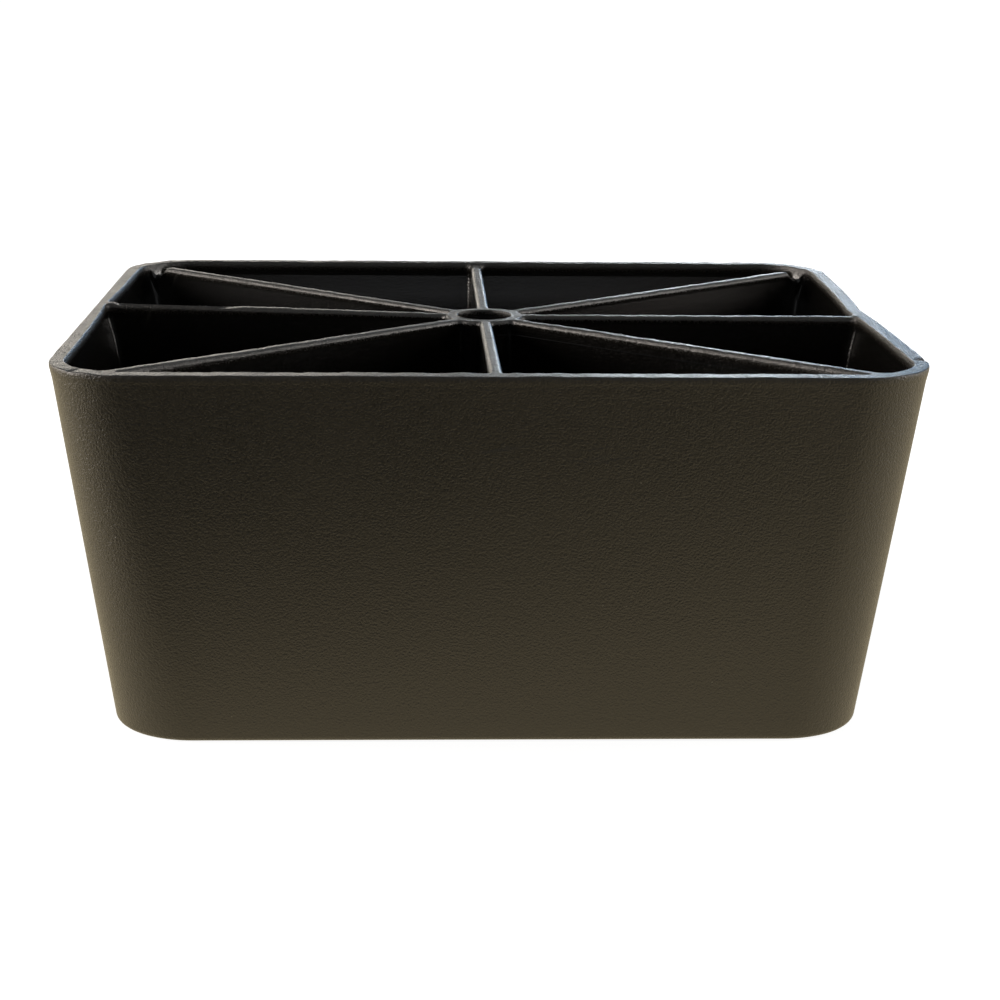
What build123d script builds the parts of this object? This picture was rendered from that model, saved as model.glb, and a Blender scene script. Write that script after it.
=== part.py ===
from build123d import *
import os

# Sizes, in millimetres

# Outside: the open mounting rim is on top, the smaller foot stands on the floor
rim_length = 140.0
rim_depth = 116.0
rim_corner_radius = 13.0
foot_length = 125.4
foot_depth = 101.4
foot_corner_radius = 14.0
leg_height = 63.0
foot_edge_radius = 1.0

# Shell: each wall and rib is a little thicker at the floor, so the moulding leaves its tool
wall_at_rim = 2.5
wall_at_floor = 3.3
floor_thickness = 3.0

# Web of ribs round the middle tube
rib_at_rim = 2.1
rib_at_floor = 2.9
tube_at_rim = 14.4
tube_at_floor = 16.0
tube_sink = 0.8

# Directions of the eight ribs as seen from above, in degrees, starting at the right wall
rib_directions = [-2.9, 37.7, 90.2, 141.6, 174.4, 222.8, 270.3, 317.5]

# Moulded radius in the upright corners of the pockets
pocket_corner_radius = 0.9

# Fixing bolt: its bore, and the recess in the foot that hides its head
bolt_bore = 9.6
head_recess = 19.0
head_recess_depth = 6.0
head_wall = 2.6


def at_height(foot_value, rim_value, z):
    """A size that runs straight from the foot to the rim, taken at height z."""
    return foot_value + (rim_value - foot_value) * z / leg_height


def outline(z, wall):
    """The leg's rounded outline at height z, drawn in by a wall."""
    length = at_height(foot_length, rim_length, z) - 2 * wall
    depth = at_height(foot_depth, rim_depth, z) - 2 * wall
    radius = at_height(foot_corner_radius, rim_corner_radius, z) - wall
    return Plane.XY.offset(z) * RectangleRounded(length, depth, radius)


def outer_block():
    """The tapered outside, with its small radius round the foot."""
    block = loft([outline(0, 0), outline(leg_height, 0)], ruled=True)
    foot_edges = block.edges().group_by(Axis.Z)[0]
    return fillet(foot_edges, foot_edge_radius)


def hollow():
    """The space inside the walls, from the floor of the pockets to the rim."""
    return loft([outline(floor_thickness, wall_at_floor), outline(leg_height, wall_at_rim)], ruled=True)


def rib(direction):
    """One upright rib from the leg's axis out past the wall, thinner at its top."""
    at_foot = rib_at_rim + (rib_at_floor - rib_at_rim) * leg_height / (leg_height - floor_thickness)
    section = Plane.YZ * Polygon(
        (-at_foot / 2, 0),
        (at_foot / 2, 0),
        (rib_at_rim / 2, leg_height),
        (-rib_at_rim / 2, leg_height),
        align=None,
    )
    return Rot(0, 0, direction) * extrude(section, rim_length)


def tube_block():
    """The middle tube before it is bored, with the wider cup that backs the head's recess."""
    straight = loft([
        Plane.XY.offset(floor_thickness) * Circle(tube_at_floor / 2),
        Plane.XY.offset(leg_height) * Circle(tube_at_rim / 2),
    ])
    cup_height = head_recess_depth + floor_thickness
    cup = extrude(Circle(head_recess / 2 + head_wall), cup_height)
    return straight + cup


def off_rounded_corner(edge):
    """Whether an edge keeps clear of the outline's rounded corners, which need no further radius."""
    middle = edge.position_at(0.5)
    half_length = at_height(foot_length, rim_length, middle.Z) / 2
    half_depth = at_height(foot_depth, rim_depth, middle.Z) / 2
    radius = at_height(foot_corner_radius, rim_corner_radius, middle.Z)
    return abs(middle.X) < half_length - radius or abs(middle.Y) < half_depth - radius


def pocket_spaces():
    """The eight spaces between the ribs, with a moulded radius where they meet tube and flat walls."""
    spaces = hollow() - tube_block()
    for direction in rib_directions:
        spaces -= rib(direction)
    upright = spaces.edges().filter_by(lambda edge: abs(edge.tangent_at(0.5).Z) > 0.7)
    return fillet(upright.filter_by(off_rounded_corner), pocket_corner_radius)


def bolt_passage():
    """The straight bore through the tube and the wider recess under it."""
    bore = extrude(Circle(bolt_bore / 2), leg_height)
    recess = extrude(Circle(head_recess / 2), head_recess_depth)
    return bore + recess


def sunk_top():
    """The shallow cone by which the ribs' tops drop from the walls to the tube."""
    reach = rim_depth / 2 - wall_at_rim
    return loft([
        Plane.XY.offset(leg_height - tube_sink) * Circle(tube_at_rim / 2),
        Plane.XY.offset(leg_height) * Circle(reach),
    ])


def leg_body():
    """The whole moulding: outside, pockets, sunk rib tops and bolt passage."""
    return outer_block() - pocket_spaces() - sunk_top() - bolt_passage()


os.makedirs("parts", exist_ok=True)
leg = leg_body()
leg.label = "leg_body"
export_step(leg, "parts/leg_body.step")
print("leg_body volume, cm3:", round(leg.volume / 1000, 2))
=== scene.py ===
from math import atan2, cos, pi, radians, sin, sqrt

import bmesh
import bpy
import numpy as np
from mathutils import Matrix, Vector, geometry


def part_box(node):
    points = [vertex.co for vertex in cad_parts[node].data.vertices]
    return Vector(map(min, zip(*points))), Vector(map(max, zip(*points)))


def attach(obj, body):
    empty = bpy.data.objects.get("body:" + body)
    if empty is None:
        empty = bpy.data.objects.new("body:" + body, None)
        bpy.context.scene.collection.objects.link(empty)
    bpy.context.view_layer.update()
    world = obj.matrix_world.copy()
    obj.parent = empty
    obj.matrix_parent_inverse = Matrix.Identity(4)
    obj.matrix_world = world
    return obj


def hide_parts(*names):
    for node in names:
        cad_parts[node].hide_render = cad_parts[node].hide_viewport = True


mm = 0.001

print("stage: load the frame")
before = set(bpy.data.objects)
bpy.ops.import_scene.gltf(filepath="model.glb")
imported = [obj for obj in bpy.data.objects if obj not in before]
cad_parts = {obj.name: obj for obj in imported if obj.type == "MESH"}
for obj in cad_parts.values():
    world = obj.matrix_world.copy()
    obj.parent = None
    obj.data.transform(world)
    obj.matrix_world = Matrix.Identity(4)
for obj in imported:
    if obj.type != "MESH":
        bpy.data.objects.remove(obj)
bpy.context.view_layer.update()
low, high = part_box("leg_body")

# Sizes of the moulding in millimetres; the three outer ones come from the frame
leg = {
    "rimLength": (high.x - low.x) / mm,
    "rimDepth": (high.y - low.y) / mm,
    "height": (high.z - low.z) / mm,
    "footInset": 7.3,            # the foot is this much smaller on every side
    "rimCorner": 13.0,
    "footCorner": 14.0,
    "footEdge": 1.0,
    "wallAtRim": 2.5,
    "wallAtFloor": 3.3,
    "floor": 3.0,
    "ribAtRim": 2.1,
    "ribAtFloor": 2.9,
    "tubeAtRim": 7.2,            # radii of the middle tube
    "tubeAtFloor": 8.0,
    "underRim": 0.20,            # the uneven top stays this far under the frame's top on average
    "tubeSink": 0.80,            # the tube's top lies this far under the rim
    "bore": 4.8,                 # radii of the bore and of the recess for the bolt's head
    "recess": 9.5,
    "recessDepth": 6.0,
    "recessWall": 2.6,
    "bevel": 0.3,                # small bevels of the recess and of the cup behind it
    "cupFoot": 0.5,              # the step where the tube stands on its cup
    "overCup": 4.0,              # the pockets' even rows start this far over the cup
    "underTop": 6.5,             # and end this far under the rim
    "outsideUnder": 3.0,         # the outside's even rows start this far under the rim
    "wallEdge": 0.35,            # the walls' inner edge is this much sharper than the ribs'
    "pocketCorner": 1.5,
    "tipCorner": 0.9,
    "mostCorner": 0.42,          # a corner takes no more than this share of a stretch
    "sharpOver": 32.0,           # edges that turn by more degrees than this are shaded sharp
}

# The ribs as moulded, a little off square: direction in degrees from +X, how far the top lies under the rim
# where it meets the wall, a dip there (length, depth) and a shrink groove along the top (from, to, depth), in
# millimetres
ribs = [
    {"direction": -2.9, "endSink": 0.30, "dip": None, "groove": None},
    {"direction": 37.7, "endSink": 0.45, "dip": (4.2, 1.8), "groove": None},
    {"direction": 90.2, "endSink": 0.45, "dip": (0.8, 0.4), "groove": None},
    {"direction": 141.6, "endSink": 0.30, "dip": (4.2, 1.8), "groove": None},
    {"direction": 174.4, "endSink": 0.0, "dip": None, "groove": (44.0, 66.5, 0.70)},
    {"direction": 222.8, "endSink": 0.0, "dip": None, "groove": None},
    {"direction": 270.3, "endSink": 0.0, "dip": None, "groove": None},
    {"direction": 317.5, "endSink": 0.0, "dip": None, "groove": None},
]
ribDirections = [rib["direction"] for rib in ribs]

# How the side walls were pulled about as the moulding cooled, in millimetres
warp = {
    "leftBow": 1.0,              # the left wall's inner face bows out beside its rib
    "leftAt": 6.0,
    "leftFrom": 50.0,            # it begins this far out, and is full a stretch further on
    "leftOver": 15.0,
    "rightPull": 1.5,            # the right wall is drawn in at its rib
    "rightAt": 2.0,
    "rightFrom": 40.0,
    "rightOver": 25.0,
    "reach": 17.0,
    "fade": 26.0,                # the pull dies away down the wall
}

# Lengths over which the forms of the top come in and go out, in millimetres
ease = {
    "endSink": 0.5,
    "dipIn": 1.0,
    "dipOut": 2.2,
    "grooveIn": 5.0,
    "grooveOut": 1.5,
    "edge": 0.9,                 # what lies deeper than this isn't part of the top edge
    "onRib": 1.9,                # what lies nearer than this to a rib's middle line is on the rib
}

# A parting ledge runs under the top in these pockets, how far it stands out in millimetres
ledges = {6: 0.16}
ledge = "ledge"

# Top edge of a pocket, row by row: how far under the local top, and how far back into the plastic
ribEdge = [
    (2.72, 0.0), (2.66, ledge), (2.54, ledge), (2.46, 0.0), (1.5, 0.0),
    (0.98, 0.0), (0.74, -0.02), (0.60, 0.0), (0.46, 0.06), (0.33, 0.13),
    (0.22, 0.21), (0.12, 0.31), (0.05, 0.43), (0.01, 0.56), (0.0, 0.74),
]
# Rows counted from the last: the one that the crumbs of flash follow, and how much of a groove each takes
burrRow = -6
grooveRows = {-5: 0.25, -4: 0.55, -3: 0.85, -2: 1.0, -1: 1.0}

# Outer edge of the rim in the same way, and how its top leans outwards at the front
rimEdge = [(0.02, 0.42), (0.01, 0.26), (0.04, 0.14), (0.11, 0.05), (0.26, 0.0), (0.8, 0.0)]
frontLean = {"depth": 0.09, "from": 47.0, "over": 9.0}

# Foot of a pocket: how far over its floor, and how far the pocket grows there, minus where it is narrower
floorEdge = [(0.0, -0.9), (0.08, -0.5), (0.4, -0.1), (0.9, 0.0)]

# Top of the bore: how much wider it gets, and how far under the tube's top
boreEdge = [(0.0, 3.0), (0.0, 0.35), (0.05, 0.12), (0.18, 0.0), (0.45, 0.08)]

# Counts of points and rows, and of the halvings that find a wall along a ray
grid = {
    "rib": 84,
    "wall": 96,
    "tube": 6,
    "corner": 7,
    "turn": 80,
    "side": 70,
    "arc": 24,
    "bore": 72,
    "rows": 9,
    "outsideRows": 22,
    "footRows": 5,
    "halvings": 36,
}

# Small marks on the rim: place on the plan, reach, and height, minus for a nick, in millimetres
rimMarks = [
    (-5.2, -55.9, 1.4, 0.09),
    (-65.1, -54.3, 0.55, -0.35),
    (-66.6, -54.6, 0.6, 0.08),
    (-63.0, -56.4, 0.6, 0.09),
    (69.6, -43.5, 0.6, -0.35),
    (66.5, -24.0, 1.0, 0.09),
    (12.0, -57.4, 0.9, -0.10),
    (33.0, -57.3, 1.2, 0.07),
]


def blend(atLow, atHigh, share):
    return atLow + (atHigh - atLow) * share


def outerOutline(z, inset):
    share = z / leg["height"]
    drawn = blend(leg["footInset"], 0.0, share) + inset
    corner = blend(leg["footCorner"], leg["rimCorner"], share) - inset
    return leg["rimLength"] / 2 - drawn, leg["rimDepth"] / 2 - drawn, corner


def overFloor(z):
    return (z - leg["floor"]) / (leg["height"] - leg["floor"])


def innerOutline(z, grow):
    return outerOutline(z, blend(leg["wallAtFloor"], leg["wallAtRim"], overFloor(z)) - grow)


# Distance to a rounded outline, minus inside it
def outlineDistance(x, y, outline):
    halfX, halfY, corner = outline
    qx = np.abs(x) - (halfX - corner)
    qy = np.abs(y) - (halfY - corner)
    return np.hypot(np.maximum(qx, 0), np.maximum(qy, 0)) + np.minimum(np.maximum(qx, qy), 0) - corner


# How far rays run from their starts until they meet the outline
def reachOutline(x, y, dx, dy, outline):
    near = np.zeros_like(dx)
    far = np.full_like(dx, leg["rimLength"])
    for halving in range(grid["halvings"]):
        middle = (near + far) / 2
        inside = outlineDistance(x + dx * middle, y + dy * middle, outline) < 0
        near = np.where(inside, middle, near)
        far = np.where(inside, far, middle)
    return near


# Even points along a line, leaving a length free at each end
def spread(points, skipStart, skipEnd, count):
    along = np.concatenate([[0.0], np.cumsum(np.hypot(*np.diff(points, axis=0).T))])
    wanted = np.linspace(skipStart, along[-1] - skipEnd, count)
    return np.column_stack([np.interp(wanted, along, points[:, axis]) for axis in (0, 1)])


def lineLength(points):
    return np.hypot(*np.diff(points, axis=0).T).sum()


def ribSide(angle, side, z, grow, tube, outline):
    half = blend(leg["ribAtFloor"], leg["ribAtRim"], overFloor(z)) / 2 - grow
    across = np.array([-sin(angle), cos(angle)]) * half * side
    direction = np.array([cos(angle), sin(angle)])
    near = sqrt(tube ** 2 - half ** 2)
    far = reachOutline(across[0], across[1], direction[:1], direction[1:], outline)[0]
    return np.array([across + direction * near, across + direction * far])


def turn(first, last, forward):
    if forward and last < first:
        last += 2 * pi
    if not forward and last > first:
        last -= 2 * pi
    return np.linspace(first, last, grid["turn"])


# One pocket's outline at a height: out along a rib, along the wall, back along the next rib, round the tube
def pocketLoop(pocket, z, grow, tubeRadius):
    directions = ribDirections + [360 + ribDirections[0]]
    outline = innerOutline(z, min(grow, grow * leg["wallEdge"]))
    tube = tubeRadius - grow
    outward = ribSide(radians(directions[pocket]), 1, z, grow, tube, outline)
    inward = ribSide(radians(directions[pocket + 1]), -1, z, grow, tube, outline)[::-1]
    polar = turn(atan2(*outward[1][::-1]), atan2(*inward[0][::-1]), True)
    reach = reachOutline(0.0, 0.0, np.cos(polar), np.sin(polar), outline)
    wall = np.column_stack([reach * np.cos(polar), reach * np.sin(polar)])
    wall[0], wall[-1] = outward[1], inward[0]
    polar = turn(atan2(*inward[1][::-1]), atan2(*outward[0][::-1]), False)
    tip = np.column_stack([tube * np.cos(polar), tube * np.sin(polar)])
    stretches = [(outward, grid["rib"]), (wall, grid["wall"]), (inward, grid["rib"]), (tip, grid["tube"])]
    lengths = [lineLength(line) for line, count in stretches]
    wanted = [leg["tipCorner"], leg["pocketCorner"], leg["pocketCorner"], leg["tipCorner"]]
    most = [leg["mostCorner"] * length for length in lengths]
    cut = [min(wanted[i], most[i], most[i - 1]) for i in range(4)]
    runs = [spread(line, cut[i], cut[(i + 1) % 4], count) for i, (line, count) in enumerate(stretches)]
    loop = []
    for i, run in enumerate(runs):
        loop.extend(run)
        corner, start, end = stretches[i][0][-1], run[-1], runs[(i + 1) % 4][0]
        for step in range(1, grid["corner"]):
            t = step / grid["corner"]
            loop.append(start * (1 - t) ** 2 + corner * 2 * t * (1 - t) + end * t ** 2)
    return np.array(loop)


def outerLoop(z, inset):
    halfX, halfY, corner = outerOutline(z, inset)
    cx, cy = halfX - corner, halfY - corner
    middles = [np.array(middle) for middle in ((cx, cy), (-cx, cy), (-cx, -cy), (cx, -cy))]
    loop = []
    for quarter, middle in enumerate(middles):
        for step in range(grid["arc"]):
            angle = (quarter + step / grid["arc"]) * pi / 2
            loop.append(middle + corner * np.array((cos(angle), sin(angle))))
        angle = (quarter + 1) * pi / 2
        towards = corner * np.array((cos(angle), sin(angle)))
        start = middle + towards
        end = middles[(quarter + 1) % 4] + towards
        for step in range(grid["side"]):
            loop.append(start + (end - start) * step / grid["side"])
    return np.array(loop)


def circleLoop(radius):
    polar = np.arange(grid["bore"]) * 2 * pi / grid["bore"]
    return np.column_stack([radius * np.cos(polar), radius * np.sin(polar)])


# The ribs' tops sink evenly from the wall to the tube, some from a step at the wall
def localTop(loop):
    radius = np.hypot(loop[:, 0], loop[:, 1])
    rim = innerOutline(leg["height"], 0)
    reach = reachOutline(0.0, 0.0, loop[:, 0] / radius, loop[:, 1] / radius, rim)
    share = np.clip((reach - radius) / (reach - leg["tubeAtRim"]), 0, 1)
    sink = leg["tubeSink"] * share
    inside = -outlineDistance(loop[:, 0], loop[:, 1], rim)
    for rib in ribs:
        there = onRib(loop, rib)[0]
        sink += rib["endSink"] * np.clip(inside / ease["endSink"], 0, 1) * (1 - share) * there
        if rib["dip"]:
            length, depth = rib["dip"]
            comesIn = softStep(inside / ease["dipIn"])
            goesOut = softStep((length - inside) / ease["dipOut"])
            sink += depth * comesIn * goesOut * there
    return leg["height"] - leg["underRim"] - sink


def softStep(share):
    share = np.clip(share, 0, 1)
    return share * share * (3 - 2 * share)


# Which points stand on a rib, and how far out along it
def onRib(loop, rib):
    angle = radians(rib["direction"])
    along = loop[:, 0] * cos(angle) + loop[:, 1] * sin(angle)
    across = np.abs(loop[:, 1] * cos(angle) - loop[:, 0] * sin(angle))
    return (across < ease["onRib"]) & (along > 0), along


def grooveDepth(loop):
    depth = np.zeros(len(loop))
    for rib in ribs:
        if rib["groove"]:
            start, end, deepest = rib["groove"]
            there, along = onRib(loop, rib)
            comesIn = np.clip((along - start) / ease["grooveIn"], 0, 1)
            goesOut = np.clip((end - along) / ease["grooveOut"], 0, 1)
            depth += there * deepest * comesIn * goesOut
    return depth


# The marks on the rim, which reach less far down than up
def rimMarksRise(loop, drop):
    rise = np.zeros(len(loop))
    for markX, markY, size, height in rimMarks:
        away = np.hypot(loop[:, 0] - markX, loop[:, 1] - markY) / size
        rise += height * np.exp(-away ** 2) * edgeShare(drop)
    return rise


def edgeShare(drop):
    return max(0.0, 1 - drop / ease["edge"])


def pulledWalls(points, inner):
    x, y, z = points.T
    fade = np.exp(-(leg["height"] - z) / warp["fade"])
    farRight = np.clip((x - warp["rightFrom"]) / warp["rightOver"], 0, 1)
    farLeft = np.clip((-x - warp["leftFrom"]) / warp["leftOver"], 0, 1)
    right = warp["rightPull"] * np.exp(-np.abs(y - warp["rightAt"]) / warp["reach"]) * farRight
    left = warp["leftBow"] * np.exp(-np.abs(y - warp["leftAt"]) / warp["reach"]) * farLeft
    return np.column_stack([x - (right + left * inner) * fade, y, z])


verts = []
faces = []
atTop = []          # for each point, how fully it belongs to the top edge
inPocket = []       # and whether it lies inside, where the polished core left the plastic smoother and where its colour is painted darker as shade
burrLoops = []      # the sharp lines that the flash crumbs follow


def addLoop(loop, heights, inner, top=0.0):
    points = np.column_stack([loop, np.broadcast_to(heights, len(loop))])
    first = len(verts)
    verts.extend(pulledWalls(points, inner) * mm)
    atTop.extend([top] * len(loop))
    inPocket.extend([float(inner)] * len(loop))
    return list(range(first, len(verts)))


def bridge(loops):
    for a, b in zip(loops, loops[1:]):
        for i in range(len(a)):
            j = (i + 1) % len(a)
            faces.append((a[i], a[j], b[j], b[i]))


# Flat fill between one outer loop and the loops of the holes in it
def fillBetween(outside, holes):
    index = [i for ring in [outside] + holes for i in ring]
    flat = [Vector(verts[i][:2]) / mm for i in index]
    edges = []
    first = 0
    for ring in [outside] + holes:
        edges += [(first + i, first + (i + 1) % len(ring)) for i in range(len(ring))]
        first += len(ring)
    keepInside, nearest = 1, 1e-5
    filled = geometry.delaunay_2d_cdt(flat, edges, [], keepInside, nearest)
    points, triangles, source = filled[0], filled[2], filled[3]
    holeLines = [np.array([verts[i][:2] for i in ring]) / mm for ring in holes]
    for triangle in triangles:
        centre = sum((points[i] for i in triangle), Vector((0, 0))) / 3
        if not any(insideLine(centre, line) for line in holeLines):
            faces.append(tuple(index[source[i][0]] for i in triangle))


def insideLine(point, line):
    x, y = line.T
    nextX, nextY = np.roll(x, -1), np.roll(y, -1)
    crosses = (y > point.y) != (nextY > point.y)
    slope = np.where(nextY == y, 1, nextY - y)
    return np.count_nonzero(crosses & (point.x < (nextX - x) * (point.y - y) / slope + x)) % 2 == 1


def tubeAt(z):
    return blend(leg["tubeAtFloor"], leg["tubeAtRim"], overFloor(z))


# Rows of a pocket below its top edge: height, how far it grows there, and radius of the tube or its cup,
# which backs the recess for the bolt's head
def pocketRows():
    cup = leg["recess"] + leg["recessWall"]
    cupTop = leg["recessDepth"] + leg["floor"]
    rows = [(leg["floor"] + over, grow, cup) for over, grow in floorEdge]
    rows += [
        (cupTop - leg["bevel"], 0.0, cup),
        (cupTop, 0.0, cup - leg["bevel"]),
        (cupTop, 0.0, tubeAt(cupTop) + leg["cupFoot"]),
        (cupTop + leg["cupFoot"], 0.0, tubeAt(cupTop)),
    ]
    even = np.linspace(cupTop + leg["overCup"], leg["height"] - leg["underTop"], grid["rows"])
    return rows + [(z, 0.0, tubeAt(z)) for z in even]


def pocketSurface(pocket):
    loops = [addLoop(pocketLoop(pocket, z, grow, tube), z, True) for z, grow, tube in pocketRows()]
    faces.append(tuple(reversed(loops[0])))
    for row, (drop, grow) in enumerate(ribEdge, -len(ribEdge)):
        grow = -ledges.get(pocket, 0.0) if grow == ledge else grow
        loop = pocketLoop(pocket, leg["height"], grow, leg["tubeAtRim"])
        groove = grooveRows.get(row, 0) * grooveDepth(loop)
        heights = localTop(loop) - drop + rimMarksRise(loop, drop) - groove
        loops.append(addLoop(loop, heights, True, edgeShare(drop)))
    burrLoops.append(loops[burrRow])
    bridge(loops)
    return loops[-1]


def outerSurface():
    top = leg["height"] - leg["underRim"]
    loops = []
    for drop, inset in rimEdge:
        loop = outerLoop(leg["height"], inset)
        front = np.clip((-loop[:, 1] - frontLean["from"]) / frontLean["over"], 0, 1)
        lean = frontLean["depth"] * front * edgeShare(drop)
        heights = top - drop - lean + rimMarksRise(loop, drop)
        loops.append(addLoop(loop, heights, False, edgeShare(drop)))
    for z in np.linspace(leg["height"] - leg["outsideUnder"], leg["footEdge"], grid["outsideRows"]):
        loops.append(addLoop(outerLoop(z, 0.0), z, False))
    for step in range(1, grid["footRows"] + 1):
        angle = step * pi / 2 / grid["footRows"]
        z = leg["footEdge"] * (1 - sin(angle))
        loops.append(addLoop(outerLoop(z, leg["footEdge"] * (1 - cos(angle))), z, False))
    bridge(loops)
    return loops[0], loops[-1]


# Recess under the foot and bore up through the tube, as rows of radius and height
def boltPassage():
    top = leg["height"] - leg["underRim"] - leg["tubeSink"]
    recess, depth, bore, bevel = leg["recess"], leg["recessDepth"], leg["bore"], leg["bevel"]
    rows = [
        (recess + bevel, 0.0),
        (recess, bevel),
        (recess, depth - bevel),
        (recess - bevel, depth),
        (bore + bevel, depth),
        (bore, depth + bevel),
        (bore, top / 2),
    ]
    rows += [(bore + wider, top - under) for wider, under in boreEdge]
    loops = [addLoop(circleLoop(radius), z, True) for radius, z in rows]
    bridge(loops)
    return loops[0], loops[-1]


def buildLeg():
    pocketTops = [pocketSurface(pocket) for pocket in range(len(ribDirections))]
    rimInner, soleEdge = outerSurface()
    soleHole, boreTop = boltPassage()
    fillBetween(rimInner, pocketTops + [boreTop])
    fillBetween(soleEdge, [soleHole])
    data = bpy.data.meshes.new("moulding")
    data.from_pydata([tuple(v) for v in verts], [], faces)
    for name, values in (("atTop", atTop), ("inPocket", inPocket)):
        data.attributes.new(name, "FLOAT", "POINT").data.foreach_set("value", values)
    work = bmesh.new()
    work.from_mesh(data)
    bmesh.ops.recalc_face_normals(work, faces=work.faces)
    loose = [edge for edge in work.edges if len(edge.link_faces) != 2]
    print("open or crowded edges:", len(loose), "volume cm3:", round(work.calc_volume() * 1e6, 1))
    work.to_mesh(data)
    work.free()
    data.shade_smooth()
    data.set_sharp_from_angle(angle=radians(leg["sharpOver"]))
    piece = bpy.data.objects.new("moulding", data)
    bpy.context.scene.collection.objects.link(piece)
    return piece


# Nodes of a tree, made and joined by name or number
def addNode(tree, kind, inputs=None, **settings):
    node = tree.nodes.new(kind)
    for name, value in settings.items():
        setattr(node, name, value)
    for name, value in (inputs or {}).items():
        if isinstance(value, bpy.types.NodeSocket):
            tree.links.new(value, node.inputs[name])
        else:
            node.inputs[name].default_value = value
    return node


def times(tree, a, b):
    return addNode(tree, "ShaderNodeMath", {0: a, 1: b}, operation="MULTIPLY").outputs[0]


def minus(tree, a, b):
    return addNode(tree, "ShaderNodeMath", {0: a, 1: b}, operation="SUBTRACT").outputs[0]


# Sum that stays within 0 and 1
def plus(tree, a, b):
    return addNode(tree, "ShaderNodeMath", {0: a, 1: b}, operation="ADD", use_clamp=True).outputs[0]


# Goes from first to last as the value goes from start to end
def between(tree, value, start, end, first=0.0, last=1.0):
    span = {"Value": value, "From Min": start, "From Max": end, "To Min": first, "To Max": last}
    return addNode(tree, "ShaderNodeMapRange", span).outputs["Result"]


def distance(tree, a, b):
    return addNode(tree, "ShaderNodeVectorMath", {0: a, 1: b}, operation="DISTANCE").outputs["Value"]


# Colour between two colours, each given or worked out by other nodes
def mixed(tree, share, first, second):
    inputs = {"Factor": share, "A": first, "B": second}
    return addNode(tree, "ShaderNodeMix", inputs, data_type="RGBA").outputs["Result"]


# Tree with a named input for each of a piece's values and for its material
def newGeometryTree(name, values):
    tree = bpy.data.node_groups.new(name, "GeometryNodeTree")
    tree.interface.new_socket(name="Geometry", in_out="INPUT", socket_type="NodeSocketGeometry")
    for socket, value in values.items():
        kind = "NodeSocketInt" if isinstance(value, int) else "NodeSocketFloat"
        tree.interface.new_socket(name=socket, in_out="INPUT", socket_type=kind)
    tree.interface.new_socket(name="Material", in_out="INPUT", socket_type="NodeSocketMaterial")
    tree.interface.new_socket(name="Geometry", in_out="OUTPUT", socket_type="NodeSocketGeometry")
    return tree, addNode(tree, "NodeGroupInput").outputs


def endTree(tree, geometry, material):
    real = addNode(tree, "GeometryNodeRealizeInstances", {"Geometry": geometry})
    painted = addNode(tree, "GeometryNodeSetMaterial", {"Geometry": real.outputs[0], "Material": material})
    addNode(tree, "NodeGroupOutput", {"Geometry": painted.outputs[0]})


# Runs a tree on an object with its named inputs, and keeps the result as a plain mesh
def runTree(piece, tree, values):
    modifier = piece.modifiers.new(tree.name, "NODES")
    modifier.node_group = tree
    for item in tree.interface.items_tree:
        if item.in_out == "INPUT" and item.name in values:
            modifier[item.identifier] = values[item.name]
    bpy.context.view_layer.update()
    evaluated = piece.evaluated_get(bpy.context.evaluated_depsgraph_get())
    made = bpy.data.meshes.new_from_object(evaluated)
    piece.modifiers.remove(modifier)
    made.name = piece.name
    piece.data = made


# Cooling leaves the top edges a little uneven, in a slow wave and a fine one: metres, and waves a metre
unevenTop = {
    "Slow Depth": 0.00022,
    "Slow Scale": 75.0,
    "Fine Depth": 0.00030,
    "Fine Scale": 520.0,
    "Seed": 3.0,
}


def unevenTopTree():
    tree, given = newGeometryTree("uneven top", unevenTop)
    top = addNode(tree, "GeometryNodeInputNamedAttribute", {"Name": "atTop"}, data_type="FLOAT").outputs[0]
    waves = []
    for name in ("Slow", "Fine"):
        inputs = {"W": given["Seed"], "Scale": given[name + " Scale"], "Detail": 1.0}
        wave = addNode(tree, "ShaderNodeTexNoise", inputs, noise_dimensions="4D").outputs[0]
        waves.append(times(tree, minus(tree, wave, 0.5), given[name + " Depth"]))
    both = addNode(tree, "ShaderNodeMath", {0: waves[0], 1: waves[1]}, operation="ADD").outputs[0]
    lift = addNode(tree, "ShaderNodeCombineXYZ", {"Z": times(tree, both, top)}).outputs[0]
    moved = addNode(tree, "GeometryNodeSetPosition", {"Geometry": given["Geometry"], "Offset": lift})
    endTree(tree, moved.outputs[0], given["Material"])
    return tree


# Crumbs of flash that stand along the sharp lines of the ribs and the walls, in metres
flashCrumbs = {
    "Spacing": 0.0011,
    "Share": 0.3,                # of the places along the lines that hold a crumb
    "Smallest": 0.00003,
    "Largest": 0.00010,
    "Stray": 0.00008,            # how far a crumb may lie off its line
    "Seed": 11,
}


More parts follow.
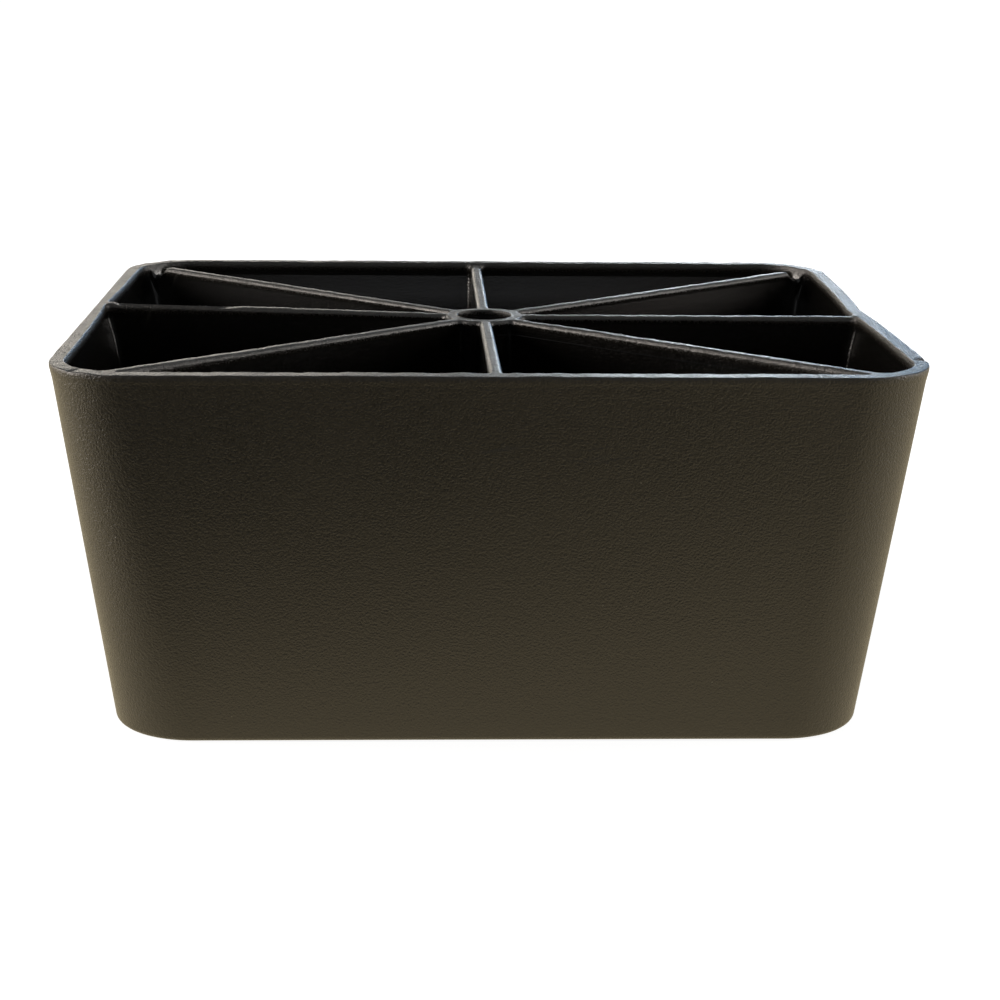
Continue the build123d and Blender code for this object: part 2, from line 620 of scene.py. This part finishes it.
def flashCrumbTree():
    stretch = (1.9, 1.0, 0.8)        # a crumb is longer than it is wide
    mostTurn = (0.6, 0.6, 6.28)      # about each axis, in radians
    strayLow, strayHigh = (-1, -1, -0.9), (1, 1, 0.2)
    tree, given = newGeometryTree("flash crumbs", flashCrumbs)
    seed = given["Seed"]
    line = addNode(tree, "GeometryNodeMeshToCurve", {"Mesh": given["Geometry"]}).outputs[0]
    even = addNode(tree, "GeometryNodeResampleCurve", {"Curve": line, "Length": given["Spacing"]},
                   mode="LENGTH").outputs[0]
    kept = addNode(tree, "FunctionNodeRandomValue", {"Probability": given["Share"], "Seed": seed},
                   data_type="BOOLEAN")
    size = addNode(tree, "FunctionNodeRandomValue", {2: given["Smallest"], 3: given["Largest"], "Seed": seed},
                   data_type="FLOAT")
    shape = addNode(tree, "ShaderNodeVectorMath", {0: stretch, "Scale": size.outputs[1]}, operation="SCALE")
    turned = addNode(tree, "FunctionNodeRandomValue", {0: (0, 0, 0), 1: mostTurn, "Seed": seed},
                     data_type="FLOAT_VECTOR")
    aside = addNode(tree, "FunctionNodeRandomValue", {0: strayLow, 1: strayHigh, "Seed": seed},
                    data_type="FLOAT_VECTOR")
    stray = addNode(tree, "ShaderNodeVectorMath", {0: aside.outputs[0], "Scale": given["Stray"]},
                    operation="SCALE").outputs[0]
    strayed = addNode(tree, "GeometryNodeSetPosition", {"Geometry": even, "Offset": stray})
    crumb = addNode(tree, "GeometryNodeMeshIcoSphere", {"Radius": 1.0, "Subdivisions": 1})
    placed = addNode(tree, "GeometryNodeInstanceOnPoints", {
        "Points": strayed.outputs[0],
        "Selection": kept.outputs[3],
        "Instance": crumb.outputs[0],
        "Rotation": turned.outputs[0],
        "Scale": shape.outputs[0],
    })
    endTree(tree, placed.outputs[0], given["Material"])
    return tree


def buildCrumbs():
    deepest = 2.0       # millimetres under the top: the lines' lower parts, in the dips, stay clean
    lowest = (leg["height"] - leg["underRim"] - deepest) * mm
    index = [i for ring in burrLoops for i in ring]
    edges = []
    first = 0
    for ring in burrLoops:
        for i in range(len(ring)):
            if verts[ring[i]][2] > lowest:
                edges.append((first + i, first + (i + 1) % len(ring)))
        first += len(ring)
    data = bpy.data.meshes.new("flashCrumbs")
    data.from_pydata([tuple(verts[i]) for i in index], edges, [])
    piece = bpy.data.objects.new("flashCrumbs", data)
    bpy.context.scene.collection.objects.link(piece)
    return piece


# Look of the plastic; lengths in metres, patterns in bumps a metre, and each pair says where
# something begins and where it is full
plastic = {
    "dark": (0.0015, 0.0013, 0.0010, 1),
    "light": (0.0210, 0.0180, 0.0130, 1),
    "inside": (0.0030, 0.0028, 0.0024, 1),
    # painted shade: the pockets' colour below the tops, darker to stand for the shade inside them
    "insideBelow": (0.0619, 0.0608),
    "ior": 1.58,
    "roughness": (0.22, 0.36),       # of the smoothest patches and of the roughest
    "smootherInside": 0.20,
    "cloud": 45.0,                   # slow patches of tone and gloss
    "cloudTone": 0.4,
    "grain": 2900.0,                 # satin grain
    "grainLevel": (0.35, 0.65),
    "grainTone": 0.6,
    "grainDepth": 0.00030,
    "grainStrength": 0.6,
    "grainInside": 0.25,
    "roughGrain": 0.12,
    "cut": 1500.0,                   # the tops are a little rough, as cut
    "cutAbove": (0.0611, 0.0617),
    "cutDepth": 0.00010,
    "streak": (1500, 1500, 38),      # streaks drawn down the right front corner and under the tops
    "streakX": (0.044, 0.060),
    "streakY": (-0.034, -0.046),
    "streakAbove": (0.0608, 0.0618),
    "streakDepth": 0.00003,
    "roughStreak": 0.10,
    # rubbed places on the front: centre and half width
    "rubs": [
        ((-0.0014, -0.0565, 0.0506), (0.0085, 0.004, 0.0024)),
        ((0.0180, -0.0565, 0.0500), (0.0080, 0.004, 0.0018)),
    ],
    "rubEdge": (1.25, 0.45),         # in half widths
    "scratch": (60, 60, 1500),
    "scratchTilt": 10,
    "scratchLevel": (0.56, 0.62),
    "scratchColour": (0.002, 0.002, 0.002, 1),
    "scratchTone": 0.85,
    "roughScratch": 0.30,
    # pale specks held in the front
    "specks": [
        (0.0232, -0.05595, 0.0453),
        (0.0179, -0.05353, 0.0244),
        (0.0217, -0.05355, 0.0242),
        (0.0362, -0.05194, 0.0107),
        (-0.0421, -0.05125, 0.0047),
    ],
    "speckColour": (0.13, 0.125, 0.11, 1),
    "speckEdge": (0.00016, 0.000064),
    # flow line that curls down from the rim at the left front corner
    "flowCentre": (-0.0530, 0.0, 0.0575),
    "flowRadius": 0.0083,
    "flowEdge": (0.00032, 0.00008),
    "flowX": (-0.0575, -0.0590),
    "flowAbove": (0.0575, 0.0605),
    "flowTone": 0.10,
}


def noise(tree, place, scale, detail):
    inputs = {"Vector": place, "Scale": scale, "Detail": detail}
    return addNode(tree, "ShaderNodeTexNoise", inputs).outputs["Fac"]


# Noise drawn out along a direction: scale for each axis, turned by an angle about Y
def drawnNoise(tree, place, scale, tilt, detail):
    turned = addNode(tree, "ShaderNodeMapping", {"Vector": place, "Rotation": (0, radians(tilt), 0)})
    stretched = addNode(tree, "ShaderNodeMapping", {"Vector": turned.outputs[0], "Scale": scale})
    return noise(tree, stretched.outputs[0], 1.0, detail)


# Fine slanting scratches inside soft ovals
def rubScratches(tree, place):
    rubbed = 0.0
    for centre, half in plastic["rubs"]:
        off = addNode(tree, "ShaderNodeVectorMath", {0: place, 1: centre}, operation="SUBTRACT")
        scaled = addNode(tree, "ShaderNodeVectorMath", {0: off.outputs[0], 1: half}, operation="DIVIDE")
        length = addNode(tree, "ShaderNodeVectorMath", {0: scaled.outputs[0]}, operation="LENGTH")
        rubbed = plus(tree, between(tree, length.outputs["Value"], *plastic["rubEdge"]), rubbed)
    slanting = drawnNoise(tree, place, plastic["scratch"], plastic["scratchTilt"], 2.0)
    return times(tree, rubbed, between(tree, slanting, *plastic["scratchLevel"]))


def uprightStreaks(tree, place, axes):
    atRight = between(tree, axes["X"], *plastic["streakX"])
    atCorner = times(tree, atRight, between(tree, axes["Y"], *plastic["streakY"]))
    where = plus(tree, atCorner, between(tree, axes["Z"], *plastic["streakAbove"]))
    return times(tree, where, drawnNoise(tree, place, plastic["streak"], 0, 3.0))


def paleSpecks(tree, place):
    speck = 0.0
    for centre in plastic["specks"]:
        speck = plus(tree, between(tree, distance(tree, place, centre), *plastic["speckEdge"]), speck)
    return speck


def flowLine(tree, axes):
    flat = addNode(tree, "ShaderNodeCombineXYZ", {"X": axes["X"], "Z": axes["Z"]}).outputs[0]
    off = minus(tree, distance(tree, flat, plastic["flowCentre"]), plastic["flowRadius"])
    away = addNode(tree, "ShaderNodeMath", {0: off}, operation="ABSOLUTE").outputs[0]
    flow = times(tree, between(tree, away, *plastic["flowEdge"]), between(tree, axes["X"], *plastic["flowX"]))
    return times(tree, flow, between(tree, axes["Z"], *plastic["flowAbove"]))


# Bumps of a height, in metres, on top of other bumps where these are given
def bumps(tree, height, depth, strength, under=None):
    inputs = {"Height": height, "Distance": depth, "Strength": strength}
    if under is not None:
        inputs["Normal"] = under
    return addNode(tree, "ShaderNodeBump", inputs).outputs[0]


def satinPlastic():
    material = bpy.data.materials.new("satin plastic")
    material.use_nodes = True
    tree = material.node_tree
    shader = tree.nodes["Principled BSDF"]
    place = addNode(tree, "ShaderNodeTexCoord").outputs["Object"]
    axes = addNode(tree, "ShaderNodeSeparateXYZ", {0: place}).outputs
    cloud = noise(tree, place, plastic["cloud"], 5.0)
    grain = noise(tree, place, plastic["grain"], 3.0)
    cut = noise(tree, place, plastic["cut"], 3.0)
    scratched = rubScratches(tree, place)
    streaked = uprightStreaks(tree, place, axes)

    # inside, below the tops, the core left the plastic smoother, and its colour is painted darker there as
    # the shade deep in the pockets
    pocketShare = addNode(tree, "ShaderNodeAttribute", attribute_name="inPocket").outputs["Fac"]
    smoothAndShaded = times(tree, pocketShare, between(tree, axes["Z"], *plastic["insideBelow"]))

    grainTone = times(tree, between(tree, grain, *plastic["grainLevel"]), plastic["grainTone"])
    mottle = plus(tree, times(tree, cloud, plastic["cloudTone"]), grainTone)
    tone = mixed(tree, mottle, plastic["dark"], plastic["light"])
    # painted shade: below the tops the pockets take the darker inside colour
    tone = mixed(tree, smoothAndShaded, tone, plastic["inside"])
    tone = mixed(tree, times(tree, scratched, plastic["scratchTone"]), tone, plastic["scratchColour"])
    pale = plus(tree, paleSpecks(tree, place), times(tree, flowLine(tree, axes), plastic["flowTone"]))
    tone = mixed(tree, pale, tone, plastic["speckColour"])
    tree.links.new(tone, shader.inputs["Base Color"])

    rough = between(tree, cloud, 0.0, 1.0, *plastic["roughness"])
    rough = plus(tree, rough, between(tree, grain, *plastic["grainLevel"], 0.0, plastic["roughGrain"]))
    rough = plus(tree, rough, times(tree, scratched, plastic["roughScratch"]))
    rough = plus(tree, rough, times(tree, streaked, plastic["roughStreak"]))
    rough = minus(tree, rough, times(tree, smoothAndShaded, plastic["smootherInside"]))
    tree.links.new(rough, shader.inputs["Roughness"])

    coarse = between(tree, smoothAndShaded, 0.0, 1.0, 1.0, plastic["grainInside"])
    relief = bumps(tree, times(tree, grain, coarse), plastic["grainDepth"], plastic["grainStrength"])
    lines = plus(tree, streaked, between(tree, scratched, 0.0, 1.0, 0.0, -1.0))
    relief = bumps(tree, lines, plastic["streakDepth"], 1.0, relief)
    cutTop = times(tree, cut, between(tree, axes["Z"], *plastic["cutAbove"]))
    relief = bumps(tree, cutTop, plastic["cutDepth"], 1.0, relief)
    tree.links.new(relief, shader.inputs["Normal"])
    shader.inputs["IOR"].default_value = plastic["ior"]
    return material


# The floor is warm paper with a patch of painted shade in front of the leg, which the front face mirrors as a
# painted reflection; the camera sees it white, with the leg's own shadow left in near the foot. Lengths in
# metres
paper = {
    "halfSize": 30.0,
    "lit": (1.0, 0.84, 0.54, 1),
    "shaded": (0.04, 0.037, 0.03, 1),
    "shadeCentre": (-0.14, -0.62, 0.0),
    "shadeEdge": (0.485, 0.568),     # distances at which the patch ends and the paper is fully lit
    "shadowKept": 0.34,
    "whiteNear": 0.90,
    "shadowEdge": (0.10, 0.22),      # the floor turns fully white between these distances
}


def whiteFloor():
    half = paper["halfSize"]
    corners = [(-half, -half, 0), (half, -half, 0), (half, half, 0), (-half, half, 0)]
    data = bpy.data.meshes.new("floor")
    data.from_pydata(corners, [], [(0, 1, 2, 3)])
    floor = bpy.data.objects.new("floor", data)
    bpy.context.scene.collection.objects.link(floor)
    material = bpy.data.materials.new("white floor")
    material.use_nodes = True
    tree = material.node_tree
    tree.nodes.clear()
    place = addNode(tree, "ShaderNodeTexCoord").outputs["Object"]
    rays = addNode(tree, "ShaderNodeLightPath").outputs
    camera = rays["Is Camera Ray"]
    mirrored = plus(tree, rays["Is Glossy Ray"], rays["Is Transmission Ray"])
    # painted shade: the paper is dark near the shade centre and lit beyond it, and gloss sees it glowing in
    # that tone
    lit = between(tree, distance(tree, place, paper["shadeCentre"]), *paper["shadeEdge"])
    tone = mixed(tree, lit, paper["shaded"], paper["lit"])
    sheet = mixed(tree, camera, tone, (paper["shadowKept"],) * 3 + (1,))
    matte = addNode(tree, "ShaderNodeBsdfDiffuse", {"Color": sheet})
    away = addNode(tree, "ShaderNodeVectorMath", {0: place}, operation="LENGTH").outputs["Value"]
    white = times(tree, camera, between(tree, away, *paper["shadowEdge"], paper["whiteNear"], 1.0))
    seen = mixed(tree, camera, tone, (1, 1, 1, 1))
    glow = addNode(tree, "ShaderNodeEmission", {"Color": seen, "Strength": plus(tree, white, mirrored)})
    unmirrored = addNode(tree, "ShaderNodeMixShader", {0: mirrored, 1: matte.outputs[0]})
    both = addNode(tree, "ShaderNodeAddShader", {0: unmirrored.outputs[0], 1: glow.outputs[0]})
    # from below the floor is clear, so that the sole can be seen
    below = addNode(tree, "ShaderNodeNewGeometry").outputs["Backfacing"]
    clear = addNode(tree, "ShaderNodeBsdfTransparent")
    mix = addNode(tree, "ShaderNodeMixShader", {0: below, 1: both.outputs[0], 2: clear.outputs[0]})
    output = addNode(tree, "ShaderNodeOutputMaterial")
    tree.links.new(mix.outputs[0], output.inputs["Surface"])
    data.materials.append(material)


studio = {
    "ambient": (0.92, 0.96, 1.0, 1),
    "ambientStrength": 0.20,
    "mirrored": 0.10,            # how much of the white surroundings the gloss picks up
    "lamps": [
        # name, place, aim, width, height, power, colour
        ("left window", (-1.30, 0.05, 0.40), (0, 0, 0.03), 0.9, 0.6, 22.0, (1.0, 0.91, 0.83)),
        ("right window", (1.30, 0.10, 0.40), (0, 0, 0.03), 0.9, 0.6, 11.0, (1.0, 0.95, 0.90)),
        ("sky behind", (0.33, 2.0, 0.32), (0, 0, 0.06), 0.24, 0.28, 4.0, (0.86, 0.94, 1.0)),
        ("sky far right", (0.89, 2.0, 0.32), (0, 0, 0.06), 0.87, 0.28, 3.3, (0.28, 0.60, 1.0)),
        ("wall behind left", (-0.60, 2.0, 0.32), (0, 0, 0.06), 1.08, 0.28, 5.8, (1.0, 0.92, 0.80)),
        ("sky above", (0.50, 1.25, 0.90), (0, 0, 0.06), 1.2, 0.60, 1.0, (0.88, 0.95, 1.0)),
    ],
}


def lightTheRoom():
    world = bpy.data.worlds.new("room")
    bpy.context.scene.world = world
    world.use_nodes = True
    tree = world.node_tree
    tree.nodes.clear()
    ambient = {"Color": studio["ambient"], "Strength": studio["ambientStrength"]}
    room = addNode(tree, "ShaderNodeBackground", ambient)
    white = addNode(tree, "ShaderNodeBackground", {"Color": (1, 1, 1, 1), "Strength": 1.0})
    rays = addNode(tree, "ShaderNodeLightPath").outputs
    mirrored = times(tree, plus(tree, rays["Is Glossy Ray"], rays["Is Transmission Ray"]), studio["mirrored"])
    share = plus(tree, rays["Is Camera Ray"], mirrored)
    mix = addNode(tree, "ShaderNodeMixShader", {0: share, 1: room.outputs[0], 2: white.outputs[0]})
    output = addNode(tree, "ShaderNodeOutputWorld")
    tree.links.new(mix.outputs[0], output.inputs["Surface"])
    for name, place, aim, width, height, power, colour in studio["lamps"]:
        lamp = bpy.data.lights.new(name, "AREA")
        lamp.shape = "RECTANGLE"
        lamp.size, lamp.size_y, lamp.energy, lamp.color = width, height, power, colour
        holder = bpy.data.objects.new(name, lamp)
        holder.location = place
        holder.rotation_euler = (Vector(aim) - Vector(place)).to_track_quat("-Z", "Y").to_euler()
        bpy.context.scene.collection.objects.link(holder)


# The photograph's viewpoint: place in millimetres, angles in degrees, and focal length and frame in
# pixels; the sensor is in millimetres and the nearest distance in metres
view = {
    "place": (-11.2, -374.5, 129.0),
    "pitch": 15.168,
    "yaw": -2.205,
    "roll": 0.641,
    "focal": 2106.0,
    "frame": 1000.0,
    "sensor": 36.0,
    "nearest": 0.01,
}


def placeCamera():
    pitch, yaw, roll = (radians(view[name]) for name in ("pitch", "yaw", "roll"))
    forward = Vector((-sin(yaw) * cos(pitch), cos(yaw) * cos(pitch), -sin(pitch)))
    level = Vector((cos(yaw), sin(yaw), 0))
    upright = level.cross(forward)
    right = level * cos(roll) + upright * sin(roll)
    up = upright * cos(roll) - level * sin(roll)
    data = bpy.data.cameras.new("photo view")
    data.sensor_width = view["sensor"]
    data.lens = view["focal"] * view["sensor"] / view["frame"]
    data.clip_start = view["nearest"]
    camera = bpy.data.objects.new("photo view", data)
    turned = Matrix((right, up, -forward)).transposed().to_4x4()
    camera.matrix_world = Matrix.Translation(Vector(view["place"]) * mm) @ turned
    bpy.context.scene.collection.objects.link(camera)
    bpy.context.scene.camera = camera


print("stage: mould the leg")
satin = satinPlastic()
moulding = buildLeg()
runTree(moulding, unevenTopTree(), {**unevenTop, "Material": satin})
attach(moulding, "root")
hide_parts("leg_body")

print("stage: crumbs of flash on the sharp edges")
crumbs = buildCrumbs()
runTree(crumbs, flashCrumbTree(), {**flashCrumbs, "Material": satin})
crumbs.data.shade_smooth()
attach(crumbs, "root")
print("crumb faces:", len(crumbs.data.polygons))

print("stage: floor, light and camera")
whiteFloor()
lightTheRoom()
placeCamera()
bpy.context.scene.view_settings.view_transform = "Standard"
